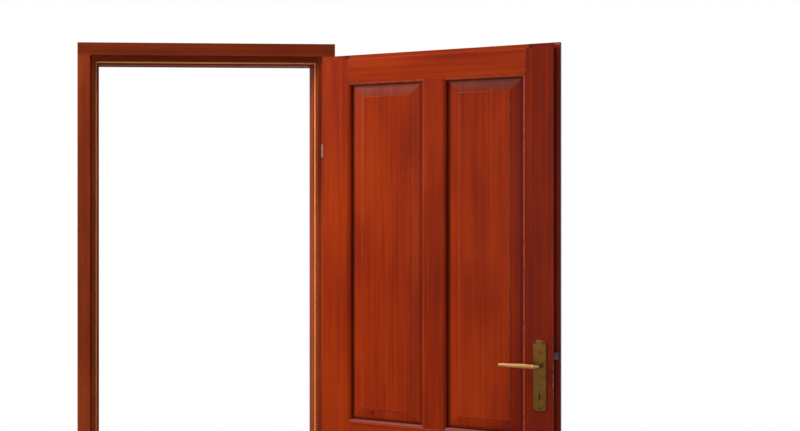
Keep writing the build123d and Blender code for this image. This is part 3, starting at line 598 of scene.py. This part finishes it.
def ease_arrises(piece, width):
    """Rounds the long sharp outer edges, and marks the new faces in the attribute arris.

    Mitres between broad bevels stay crisp, and the small faces of mouldings are shaded as curves.
    """
    make_active(piece)
    bpy.ops.object.mode_set(mode="EDIT")
    bpy.ops.mesh.select_mode(type="EDGE")
    bpy.ops.mesh.select_all(action="DESELECT")
    edit = bmesh.from_edit_mesh(piece.data)
    for edge in edit.edges:
        sharp = edge.is_manifold and edge.is_convex and edge.calc_face_angle(0) > SHARP_EDGE
        edge.select_set(sharp and edge.calc_length() > LONG_EDGE * width)
    bmesh.update_edit_mesh(piece.data)
    bpy.ops.mesh.bevel(offset=width, segments=2, profile=0.5, affect="EDGES", clamp_overlap=True)
    edit = bmesh.from_edit_mesh(piece.data)
    # Of the faces that the bevel leaves selected, the narrow ones are new
    marks = []
    for face in edit.faces:
        length = max(edge.calc_length() for edge in face.edges)
        marks.append(float(face.select and face.calc_area() < 2 * width * length))
    for edge in edit.edges:
        if min((face.calc_area() for face in edge.link_faces), default=0) > BROAD_FACE:
            edge.smooth = False
    bmesh.update_edit_mesh(piece.data)
    bpy.ops.object.mode_set(mode="OBJECT")
    piece.data.attributes.new("arris", "FLOAT", "FACE").data.foreach_set("value", marks)
    bpy.ops.object.shade_smooth_by_angle(angle=CURVE_ANGLE)
    bpy.ops.object.modifier_add(type="WEIGHTED_NORMAL")
    piece.modifiers[-1].keep_sharp = True
    bpy.ops.object.modifier_apply(modifier=piece.modifiers[-1].name)


def lay_grain(piece, length_way, opening, number, soak_and_shade, part):
    """Stores what the stain's material reads.

    Each point keeps its place in its board, how hollow it lies by the panels and how much darker it is
    drawn there: the stain that went in, and on the lock stile and the lock-side bevel painted shade.
    Each face keeps how squarely it is cut across the grain, and on some mouldings a painted highlight
    along the crest. Each board is sawn from its own part of the log, so the ring centre lies behind it
    by a different depth and to a different side.
    """
    turn = Matrix.Rotation(-opening, 3, "Z")
    middle = sum((Vector(corner) for corner in piece.bound_box), Vector()) / 8
    # The pith lies up to 50 mm to one side, and 25 to 85 mm behind the board
    pith_side = 0.05 * math.sin(2.4 * number + 0.7)
    pith_depth = 0.055 + 0.03 * math.sin(1.7 * number)
    places = [turn @ (vertex.co - middle) for vertex in piece.data.vertices]
    half_depth = max(abs(local.y) for local in places)
    board = []
    hollows = []
    soak_and_shade_values = []
    for local in places:
        across, along = (local.x, local.z) if length_way.z else (local.z, local.x)
        board += [across + pith_side, local.y + pith_depth, along + LOG_STEP * number]
        below_face = 1 - abs(local.y) / half_depth
        by_panels = part in PANEL_SIDES and local.dot(PANEL_SIDES[part]) >= 0
        depth = (below_face - HOLLOW_RIM) / (HOLLOW_FOOT - HOLLOW_RIM)
        hollow = min(max(depth, 0.0), 1.0) if by_panels else 0.0
        hollows.append(hollow)
        # The lock-side bevel's darker tone is painted shade
        soak_and_shade_values.append(soak_and_shade + (PAINTED_SHADE_EDGES.get(part, 0.0) * hollow if local.x < 0 else 0.0))
    attribute = piece.data.attributes.new("board", "FLOAT_VECTOR", "POINT")
    attribute.data.foreach_set("vector", board)
    piece.data.attributes.new("hollow", "FLOAT", "POINT").data.foreach_set("value", hollows)
    piece.data.attributes.new("soak_and_shade", "FLOAT", "POINT").data.foreach_set("value", soak_and_shade_values)
    slopes = [turn @ face.normal for face in piece.data.polygons]
    # Painted highlight along the crest of these mouldings
    if part in HIGHLIGHTED_MOULDINGS:
        for mark, slope in zip(piece.data.attributes["arris"].data, slopes):
            if CREST_EDGE < abs(slope.y) < CREST_TOP:
                mark.value = CREST_HIGHLIGHT
    cut = [abs(slope.dot(length_way)) for slope in slopes]
    piece.data.attributes.new("end_grain", "FLOAT", "FACE").data.foreach_set("value", cut)


def replace_node(piece, node, material, body):
    """Gives a piece its finish, and lets it stand for its CAD node."""
    piece.data.materials.clear()
    piece.data.materials.append(material)
    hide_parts(node)
    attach(piece, body)


def frame_timber(rows, look, material):
    """Finishes the timber members of the frame."""
    for number, (node, way, soak_and_shade) in enumerate(rows, FIRST_FRAME_BOARD):
        piece = welded_copy(node, f"eased_{node}")
        ease_arrises(piece, look.easing)
        lay_grain(piece, way, SHUT, number, soak_and_shade, node)
        replace_node(piece, node, material, "frame")


def leaf_timber(leaf, rows, look, material, opening, first_board):
    """Finishes the timber members of one leaf."""
    for number, (part, way, soak_and_shade) in enumerate(rows, first_board):
        node = f"{leaf}_{part}"
        piece = welded_copy(node, f"eased_{node}")
        ease_arrises(piece, look.field_easing if part.startswith("panel") else look.easing)
        lay_grain(piece, way, opening, number, soak_and_shade, part)
        replace_node(piece, node, material, f"{leaf}_leaf")


def screw_heads(piece):
    """The middle and the outward direction of each screw's flat head, which is its largest face.

    They are sorted by place, so that each screw is numbered the same in every run.
    """
    edit = bmesh.new()
    edit.from_mesh(piece.data)
    left = set(edit.faces)
    heads = []
    while left:
        # The list grows while it is read, until it holds all faces of one screw
        screw = [left.pop()]
        for face in screw:
            near = {other for edge in face.edges for other in edge.link_faces} & left
            screw += near
            left -= near
        head = max(screw, key=lambda face: face.calc_area())
        heads.append((head.calc_center_median(), head.normal.copy()))
    edit.free()
    return sorted(heads, key=lambda head: [round(value, 4) for value in head[0]])


def slotted_screws(node, body, material, look):
    """Cuts a driver slot across each countersunk head. The slots stand as each screw came to rest."""
    piece = welded_copy(node, f"slotted_{node}")
    cutters = []
    for number, (middle, outward) in enumerate(screw_heads(piece)):
        bpy.ops.mesh.primitive_cube_add(size=1)
        cutter = bpy.context.object
        spin = Matrix.Rotation(NEXT_SLOT * number + FIRST_SLOT, 4, "Z")
        turn = outward.to_track_quat("Z", "Y").to_matrix().to_4x4()
        size = Matrix.Diagonal((look.slot_width, SLOT_LENGTH, 2 * look.slot_depth, 1))
        cutter.matrix_world = Matrix.Translation(middle) @ turn @ spin @ size
        cutters.append(cutter)
    for cutter in cutters:
        cutter.select_set(True)
    bpy.ops.object.join()
    blades = bpy.context.object
    make_active(piece)
    bpy.ops.object.modifier_add(type="BOOLEAN")
    piece.modifiers[-1].operation = "DIFFERENCE"
    piece.modifiers[-1].object = blades
    bpy.ops.object.modifier_apply(modifier=piece.modifiers[-1].name)
    bpy.data.objects.remove(blades)
    bpy.ops.object.shade_smooth_by_angle(angle=SHARP_EDGE)
    replace_node(piece, node, material, body)


# Sizes and colours that a user would change
def colour_property(name, description, hex_colour):
    """A colour swatch whose default is a hex sRGB colour."""
    return bpy.props.FloatVectorProperty(
        name=name,
        description=description,
        subtype="COLOR",
        size=3,
        min=0,
        max=1,
        default=linear(hex_colour)[:3],
    )


def share_property(name, description, default):
    """A share from 0 to 1."""
    return bpy.props.FloatProperty(
        name=name, description=description, default=default, min=0, max=1, subtype="FACTOR"
    )


def length_property(name, description, default, least, most):
    """A small length in metres."""
    return bpy.props.FloatProperty(
        name=name,
        description=description,
        default=default,
        min=least,
        max=most,
        unit="LENGTH",
        precision=4,
    )


class LeafTimberLook(bpy.types.PropertyGroup):
    """Stain and easing of both leaves."""

    stain: colour_property("Stain", "Main tone of the stain", "#962B06")
    deep: colour_property("Deep stain", "Tone where the timber soaked up most stain", "#741B05")
    pale: colour_property("Pale stain", "Tone of the hard late rings", "#AA3A07")
    # Pinkish tone of the rubbed arrises, also the colour of their painted highlight
    rubbed: colour_property("Rubbed stain", "Tone of the thin stain on arrises", "#B85A40")
    bare: colour_property("Bare timber", "Tone of weathered timber", "#94745F")
    knot: colour_property("Knot", "Tone of a knot", "#3A1109")
    roughness: share_property("Roughness", "Roughness of the film", 0.4)
    gloss: share_property("Gloss", "How much the thin film mirrors", 0.06)
    # Dust and painted sheen on faces that look upwards
    dust: share_property("Dust", "How much fine dust lies on faces that look upwards", 0.45)
    # How dark the painted shade is in the corners along the panels
    corner_shade: share_property("Grime", "How much dirt sits in the corners along the panels", 0.75)
    # Rubbed arrises, which also draw a painted highlight along the edges
    arris_wear: share_property("Arris wear", "How strongly the arrises are rubbed", 0.6)
    ring_spacing: length_property(
        "Ring spacing", "Distance between growth rings", 0.0034, 0.001, 0.01
    )
    easing: length_property("Easing", "Width of the eased arrises", 0.0009, 0.0002, 0.003)
    field_easing: length_property(
        "Field easing", "Width of the eased arrises of the raised panels", 0.0018, 0.0002, 0.0019
    )


class FrameTimberLook(bpy.types.PropertyGroup):
    """Stain and easing of the frame."""

    stain: colour_property("Stain", "Main tone of the stain", "#90391B")
    deep: colour_property("Deep stain", "Tone where the timber soaked up most stain", "#712B16")
    pale: colour_property("Pale stain", "Tone of the hard late rings", "#A84A24")
    rubbed: colour_property("Rubbed stain", "Tone of the thin stain on arrises", "#B06038")
    roughness: share_property("Roughness", "Roughness of the film", 0.52)
    gloss: share_property("Gloss", "How much the thin film mirrors", 0.008)
    # Dust and painted sheen on faces that look upwards
    dust: share_property("Dust", "How much fine dust lies on faces that look upwards", 0.45)
    arris_wear: share_property("Arris wear", "How strongly the arrises are rubbed", 0.3)
    ring_spacing: length_property(
        "Ring spacing", "Distance between growth rings", 0.0034, 0.001, 0.01
    )
    easing: length_property("Easing", "Width of the eased arrises", 0.0012, 0.0002, 0.003)


class MetalLook(bpy.types.PropertyGroup):
    """Tones of the brass, the steel and the rubber, and the driver slots of the screws."""

    brass: colour_property("Brass", "Dulled brass of the plates", "#5E401C")
    tarnish: colour_property("Tarnish", "The same brass where it has tarnished", "#4B3416")
    zinc: colour_property("Plated steel", "Zinc plating with its faint yellow tint", "#7D6E5E")
    dull_zinc: colour_property("Dull plating", "Plating where it has greyed", "#564D42")
    handled: colour_property("Handled brass", "Brass that hands polish every day", "#A67C4E")
    handled_shade: colour_property("Handled brass shade", "The same brass where duller", "#9C7447")
    screw: colour_property("Screw", "Brass screw heads that have darkened", "#4A3418")
    screw_shade: colour_property("Screw shade", "The same heads where dirt sits", "#2C2010")
    lock: colour_property("Lock steel", "Bolts and plates of the lock", "#484441")
    lock_shade: colour_property("Lock steel shade", "The same steel where it is oily", "#322F2C")
    # The rubber's pale tone is partly painted light, so the seal looks lit in the rebate's shade
    rubber: colour_property("Rubber", "Sealing rubber", "#EFA058")
    slot_width: length_property(
        "Slot width", "Width of the driver slot of a screw", 0.0013, 0.0005, 0.002
    )
    slot_depth: length_property(
        "Slot depth", "Depth of the driver slot of a screw", 0.0011, 0.0003, 0.002
    )


class StudioLook(bpy.types.PropertyGroup):
    """Camera, lamps, floor and background."""

    lens: bpy.props.FloatProperty(
        name="Focal length",
        description="Camera lens in millimetres",
        default=52.54,
        min=10,
        max=300,
        subtype="DISTANCE_CAMERA",
    )
    eye: bpy.props.FloatVectorProperty(
        name="Eye",
        description="Place of the camera",
        default=(-0.2375, -3.898, 1.522),
        subtype="TRANSLATION",
        unit="LENGTH",
    )
    turn: bpy.props.FloatProperty(
        name="Turn",
        description="How far the camera looks to the right of straight ahead",
        default=math.radians(3.196),
        subtype="ANGLE",
    )
    floor: colour_property("Floor", "Pale floor", "#E6E3DD")
    fill: bpy.props.FloatProperty(
        name="Fill", description="Light from all round", default=0.05, min=0, max=2
    )


# Operators
class STABLEDOOR_OT_frame_timber(bpy.types.Operator):
    """Finish the jambs, head and threshold"""

    bl_idname = "stabledoor.frame_timber"
    bl_label = "Frame Timber"

    def execute(self, context):
        look = context.scene.stabledoor_frame
        material = stained_softwood("Stained_softwood_frame", look, SHUT)
        frame_timber(FRAME_TIMBER, look, material)
        return {"FINISHED"}


class STABLEDOOR_OT_upper_leaf_timber(bpy.types.Operator):
    """Finish the upper leaf's stiles, rails, muntin and panels"""

    bl_idname = "stabledoor.upper_leaf_timber"
    bl_label = "Upper Leaf Timber"

    # Centre and half sizes of each spot in the leaf's axes, towards the hinge, through and up,
    # and how far its stain is gone
    worn_places = (
        ((-0.757, 0.030, 2.000), (0.035, 0.040, 0.014), 0.9),
        ((-0.560, 0.030, 2.000), (0.420, 0.040, 0.007), 0.62),
        ((-0.020, 0.043, 1.534), (0.005, 0.008, 0.010), 0.85),
        ((-0.020, 0.043, 1.471), (0.005, 0.008, 0.018), 0.75),
        ((-0.752, 0.043, 0.990), (0.006, 0.012, 0.150), 0.8),
    )
    # Centre and half sizes of each knot, in the same axes
    knots = (((-0.181, 0.036, 0.849), (0.007, 0.02, 0.008)),)

    def execute(self, context):
        look = context.scene.stabledoor_leaf
        material = stained_softwood(
            "Stained_softwood_upper_leaf",
            look,
            UPPER_OPENING,
            look.corner_shade,
            self.worn_places,
            self.knots,
        )
        leaf_timber("upper", LEAF_TIMBER, look, material, UPPER_OPENING, FIRST_UPPER_BOARD)
        return {"FINISHED"}


class STABLEDOOR_OT_lower_leaf_timber(bpy.types.Operator):
    """Finish the lower leaf's stiles, rails, muntin, panels and ledge"""

    bl_idname = "stabledoor.lower_leaf_timber"
    bl_label = "Lower Leaf Timber"

    def execute(self, context):
        look = context.scene.stabledoor_leaf
        material = stained_softwood("Stained_softwood_lower_leaf", look, SHUT, look.corner_shade)
        rows = (*LEAF_TIMBER, LEDGE)
        leaf_timber("lower", rows, look, material, SHUT, FIRST_LOWER_BOARD)
        return {"FINISHED"}


class STABLEDOOR_OT_door_furniture(bpy.types.Operator):
    """Finish the backplates and their screws in dulled brass, and the levers in handled brass"""

    bl_idname = "stabledoor.door_furniture"
    bl_label = "Levers and Backplates"

    def execute(self, context):
        look = context.scene.stabledoor_metal
        brass = cast_metal("Dulled_cast_brass", look.brass, look.tarnish, 0.32, 900.0, 0.0001)
        handled = cast_metal(
            "Handled_cast_brass", look.handled, look.handled_shade, 0.28, 900.0, 0.00001, 0.2
        )
        for side in ("inside", "outside"):
            finish_node(f"backplate_{side}", brass)
            finish_node(f"lever_{side}", handled)
        darkened = cast_metal(
            "Darkened_brass_screws", look.screw, look.screw_shade, 0.4, 900.0, 0.0001
        )
        for node, body, slot in SCREWS:
            if slot == "brass":
                slotted_screws(node, body, darkened, look)
        return {"FINISHED"}


class STABLEDOOR_OT_ironmongery(bpy.types.Operator):
    """Finish the hinges, bolts, strike and screws in plated steel, and the lock in oiled steel"""

    bl_idname = "stabledoor.ironmongery"
    bl_label = "Hinges, Bolts and Lock"

    lock_parts = (
        "latch_bolt",
        "dead_bolt",
        "lock_case",
        "lock_faceplate",
        "lock_follower",
        "lever_spindle",
    )

    def execute(self, context):
        look = context.scene.stabledoor_metal
        zinc = cast_metal("Zinc_plated_steel", look.zinc, look.dull_zinc, 0.34, 700.0, 0.0001)
        oiled = cast_metal("Oiled_lock_steel", look.lock, look.lock_shade, 0.38, 700.0, 0.0001)
        for name, node in frame["nodes"].items():
            if node.data.materials[0].name.startswith("zinc_steel"):
                finish_node(name, oiled if name in self.lock_parts else zinc)
        for node, body, slot in SCREWS:
            if slot == "zinc_steel":
                slotted_screws(node, body, zinc, look)
        return {"FINISHED"}


class STABLEDOOR_OT_seal(bpy.types.Operator):
    """Finish the frame's sealing strip in rubber"""

    bl_idname = "stabledoor.seal"
    bl_label = "Frame Seal"

    def execute(self, context):
        look = context.scene.stabledoor_metal
        finish_node("frame_seal", extruded_rubber("Extruded_rubber", look.rubber))
        return {"FINISHED"}


class STABLEDOOR_OT_studio(bpy.types.Operator):
    """Add the floor, lamps, background and camera"""

    bl_idname = "stabledoor.studio"
    bl_label = "Studio"

    def floor(self, look):
        """A round pale floor that fades into the white background."""
        bpy.ops.object.select_all(action="DESELECT")
        bpy.ops.mesh.primitive_circle_add(vertices=96, radius=FLOOR_RADIUS, fill_type="NGON")
        floor = bpy.context.object
        floor.name = "studio_floor"
        material, tree, shader = new_material("Pale_studio_floor")
        shader.inputs["Base Color"].default_value = (*look.floor, 1)
        shader.inputs["Roughness"].default_value = 0.9
        place = add(tree, "ShaderNodeTexCoord").outputs["Object"]
        reach = add(tree, "ShaderNodeVectorMath", {0: place}, operation="LENGTH").outputs["Value"]
        fade = add(
            tree,
            "ShaderNodeMapRange",
            {"Value": reach, "From Min": FADE_START, "From Max": FADE_END},
            interpolation_type="SMOOTHSTEP",
        ).outputs["Result"]
        path = add(tree, "ShaderNodeLightPath")
        seen = add(
            tree, "ShaderNodeMath", {0: path.outputs["Is Camera Ray"], 1: fade}, operation="MULTIPLY"
        ).outputs[0]
        white = add(tree, "ShaderNodeEmission").outputs["Emission"]
        mixed = add(
            tree, "ShaderNodeMixShader", {0: seen, 1: shader.outputs["BSDF"], 2: white}
        ).outputs["Shader"]
        tree.links.new(mixed, tree.nodes["Material Output"].inputs["Surface"])
        floor.data.materials.append(material)

    def lamp(self, name, place, aim, size, power):
        """A square soft lamp that points at a place."""
        data = bpy.data.lights.new(name, "AREA")
        data.shape = "SQUARE"
        data.size = size
        data.energy = power
        lamp = bpy.data.objects.new(name, data)
        bpy.context.scene.collection.objects.link(lamp)
        lamp.location = place
        lamp.rotation_euler = (Vector(aim) - Vector(place)).to_track_quat("-Z", "Y").to_euler()

    def world(self, look):
        """White to the camera and in reflections, and a soft fill for the rest."""
        world = bpy.data.worlds.new("Studio")
        bpy.context.scene.world = world
        world.use_nodes = True
        tree = world.node_tree
        path = add(tree, "ShaderNodeLightPath").outputs
        shown = path["Is Camera Ray"]
        for ray in ("Is Glossy Ray", "Is Transmission Ray"):
            shown = add(
                tree, "ShaderNodeMath", {0: shown, 1: path[ray]}, operation="MAXIMUM"
            ).outputs[0]
        plain = (1, 1, 1, 1)
        fill = add(
            tree, "ShaderNodeBackground", {"Color": plain, "Strength": look.fill}
        ).outputs[0]
        white = add(tree, "ShaderNodeBackground", {"Color": plain, "Strength": 1.0}).outputs[0]
        mixed = add(tree, "ShaderNodeMixShader", {0: shown, 1: fill, 2: white}).outputs[0]
        tree.links.new(mixed, tree.nodes["World Output"].inputs["Surface"])

    def camera(self, look):
        """The viewing angle from outside, to the left of the opening."""
        data = bpy.data.cameras.new("Camera")
        data.lens = look.lens
        data.sensor_width = 36.0
        data.shift_x = SHIFT_ACROSS
        data.shift_y = SHIFT_UP
        camera = bpy.data.objects.new("Camera", data)
        bpy.context.scene.collection.objects.link(camera)
        camera.location = look.eye
        camera.rotation_euler = (math.radians(90), 0, -look.turn)
        bpy.context.scene.camera = camera

    def execute(self, context):
        look = context.scene.stabledoor_studio
        self.floor(look)
        for lamp in LAMPS:
            self.lamp(*lamp)
        self.world(look)
        self.camera(look)
        context.scene.view_settings.view_transform = "Standard"
        return {"FINISHED"}


class STABLEDOOR_PT_panel(bpy.types.Panel):
    """Lists the steps that finish the door."""

    bl_idname = "STABLEDOOR_PT_panel"
    bl_label = "Stable Door"
    bl_space_type = "VIEW_3D"
    bl_region_type = "UI"
    bl_category = "Stable Door"

    def draw(self, context):
        column = self.layout.column()
        for step in STEPS:
            column.operator(step.bl_idname)
        for name in LOOKS:
            look = getattr(context.scene, name)
            box = self.layout.box()
            for key in look.__annotations__:
                box.prop(look, key)


STEPS = (
    STABLEDOOR_OT_frame_timber,
    STABLEDOOR_OT_upper_leaf_timber,
    STABLEDOOR_OT_lower_leaf_timber,
    STABLEDOOR_OT_door_furniture,
    STABLEDOOR_OT_ironmongery,
    STABLEDOOR_OT_seal,
    STABLEDOOR_OT_studio,
)
LOOKS = {
    "stabledoor_frame": FrameTimberLook,
    "stabledoor_leaf": LeafTimberLook,
    "stabledoor_metal": MetalLook,
    "stabledoor_studio": StudioLook,
}


def register():
    """Makes the looks, steps and panel known to Blender."""
    for item in (*LOOKS.values(), *STEPS, STABLEDOOR_PT_panel):
        bpy.utils.register_class(item)
    for name, group in LOOKS.items():
        setattr(bpy.types.Scene, name, bpy.props.PointerProperty(type=group))


def unregister():
    """Takes them out again."""
    for name in LOOKS:
        delattr(bpy.types.Scene, name)
    for item in (STABLEDOOR_PT_panel, *reversed(STEPS), *LOOKS.values()):
        bpy.utils.unregister_class(item)


def main():
    """Finishes the whole door."""
    register()
    for step in STEPS:
        group, name = step.bl_idname.split(".")
        getattr(getattr(bpy.ops, group), name)()


if __name__ == "__main__":
    main()
